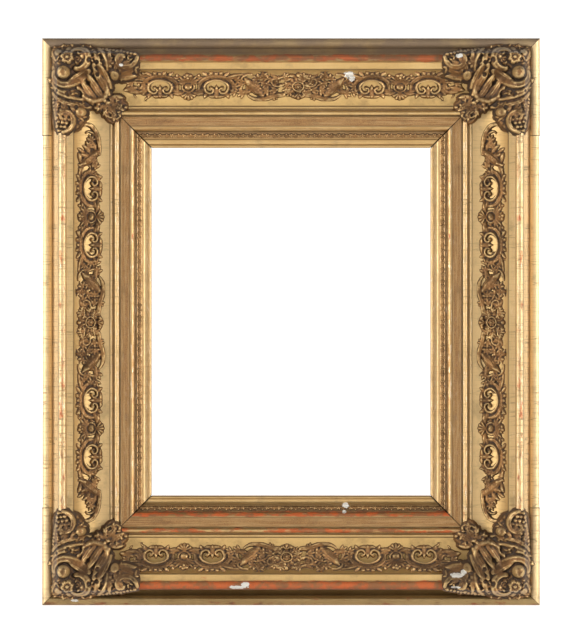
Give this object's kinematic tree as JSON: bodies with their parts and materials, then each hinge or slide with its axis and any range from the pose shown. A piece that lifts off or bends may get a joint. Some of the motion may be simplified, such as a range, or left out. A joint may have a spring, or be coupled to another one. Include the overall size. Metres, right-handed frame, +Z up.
{
  "type": "picture frame",
  "caption": "Upright gilded picture frame with a deep hollow, scrolling foliage, corner ornaments and a rebated inner slip.",
  "frame": {"origin": "centre of the footprint at the bottom edge", "axes": "+X to the viewer's right, +Y towards the wall, +Z up; the front faces -Y"},
  "size_m": [0.561, 0.088, 0.639],
  "materials": {
    "pine_boards": "bare aged pine, dusty",
    "gilt_moulding": "gold leaf on red bole, rubbed",
    "gilt_slip": "gold leaf on red bole, rubbed",
    "gilt_foliage": "gilded composition, dusty patina",
    "gilt_corners": "gilded composition, dusty patina",
    "gilt_slip_leaves": "gilded composition, dusty patina",
    "brass_buttons": "dull brass",
    "brass_hangers": "dull brass",
    "pegs": "end-grain hardwood",
    "steel": "tarnished steel"
  },
  "bodies": {
    "frame": {"back_rail_top": "pine_boards", "back_rail_bottom": "pine_boards", "back_stile_left": "pine_boards", "back_stile_right": "pine_boards", "edge_top": "gilt_moulding", "edge_bottom": "gilt_moulding", "edge_left_upper": "gilt_moulding", "edge_left_middle": "gilt_moulding", "edge_left_lower": "gilt_moulding", "edge_right_upper": "gilt_moulding", "edge_right_middle": "gilt_moulding", "edge_right_lower": "gilt_moulding", "crest_top": "gilt_moulding", "crest_bottom": "gilt_moulding", "crest_left": "gilt_moulding", "crest_right": "gilt_moulding", "hollow_top": "gilt_moulding", "hollow_bottom": "gilt_moulding", "hollow_left": "gilt_moulding", "hollow_right": "gilt_moulding", "frieze_top": "gilt_moulding", "frieze_bottom": "gilt_moulding", "frieze_left": "gilt_moulding", "frieze_right": "gilt_moulding", "slip_top": "gilt_slip", "slip_bottom": "gilt_slip", "slip_left": "gilt_slip", "slip_right": "gilt_slip", "scrolls_top_left": "gilt_foliage", "scrolls_top_right": "gilt_foliage", "scrolls_bottom_left": "gilt_foliage", "scrolls_bottom_right": "gilt_foliage", "scrolls_left_upper": "gilt_foliage", "scrolls_left_lower": "gilt_foliage", "scrolls_right_upper": "gilt_foliage", "scrolls_right_lower": "gilt_foliage", "flower_top": "gilt_foliage", "flower_bottom": "gilt_foliage", "flower_left": "gilt_foliage", "flower_right": "gilt_foliage", "corner_top_left": "gilt_corners", "corner_top_right": "gilt_corners", "corner_bottom_left": "gilt_corners", "corner_bottom_right": "gilt_corners", "slip_leaves_top": "gilt_slip_leaves", "slip_leaves_bottom": "gilt_slip_leaves", "slip_leaves_left": "gilt_slip_leaves", "slip_leaves_right": "gilt_slip_leaves", "hanger_strap_left": "brass_hangers", "hanger_strap_right": "brass_hangers", "corner_pegs": "pegs", "slip_pins": "steel", "turn_button_screws": "steel", "hanger_screws": "steel"},
    "turn_button_left_lower": {"turn_button_left_lower": "brass_buttons"},
    "turn_button_left_upper": {"turn_button_left_upper": "brass_buttons"},
    "hanger_ring_left": {"hanger_ring_left": "brass_hangers"},
    "turn_button_right_lower": {"turn_button_right_lower": "brass_buttons"},
    "turn_button_right_upper": {"turn_button_right_upper": "brass_buttons"},
    "hanger_ring_right": {"hanger_ring_right": "brass_hangers"}
  },
  "joints": [
    {"name": "turn_button_left_lower_turn", "type": "hinge", "parent": "frame", "child": "turn_button_left_lower", "pos_m": [-0.1915, 0.03898, 0.2045], "axis": [0, 1, 0], "continuous": true},
    {"name": "turn_button_left_upper_turn", "type": "hinge", "parent": "frame", "child": "turn_button_left_upper", "pos_m": [-0.1915, 0.03898, 0.4345], "axis": [0, 1, 0], "continuous": true},
    {"name": "hanger_ring_left_swing", "type": "hinge", "parent": "frame", "child": "hanger_ring_left", "pos_m": [-0.2315, 0.04122, 0.49], "axis": [1, 0, 0], "range_deg": [0, 180]},
    {"name": "turn_button_right_lower_turn", "type": "hinge", "parent": "frame", "child": "turn_button_right_lower", "pos_m": [0.1915, 0.03898, 0.2045], "axis": [0, 1, 0], "continuous": true},
    {"name": "turn_button_right_upper_turn", "type": "hinge", "parent": "frame", "child": "turn_button_right_upper", "pos_m": [0.1915, 0.03898, 0.4345], "axis": [0, 1, 0], "continuous": true},
    {"name": "hanger_ring_right_swing", "type": "hinge", "parent": "frame", "child": "hanger_ring_right", "pos_m": [0.2315, 0.04122, 0.49], "axis": [1, 0, 0], "range_deg": [0, 180]}
  ]
}
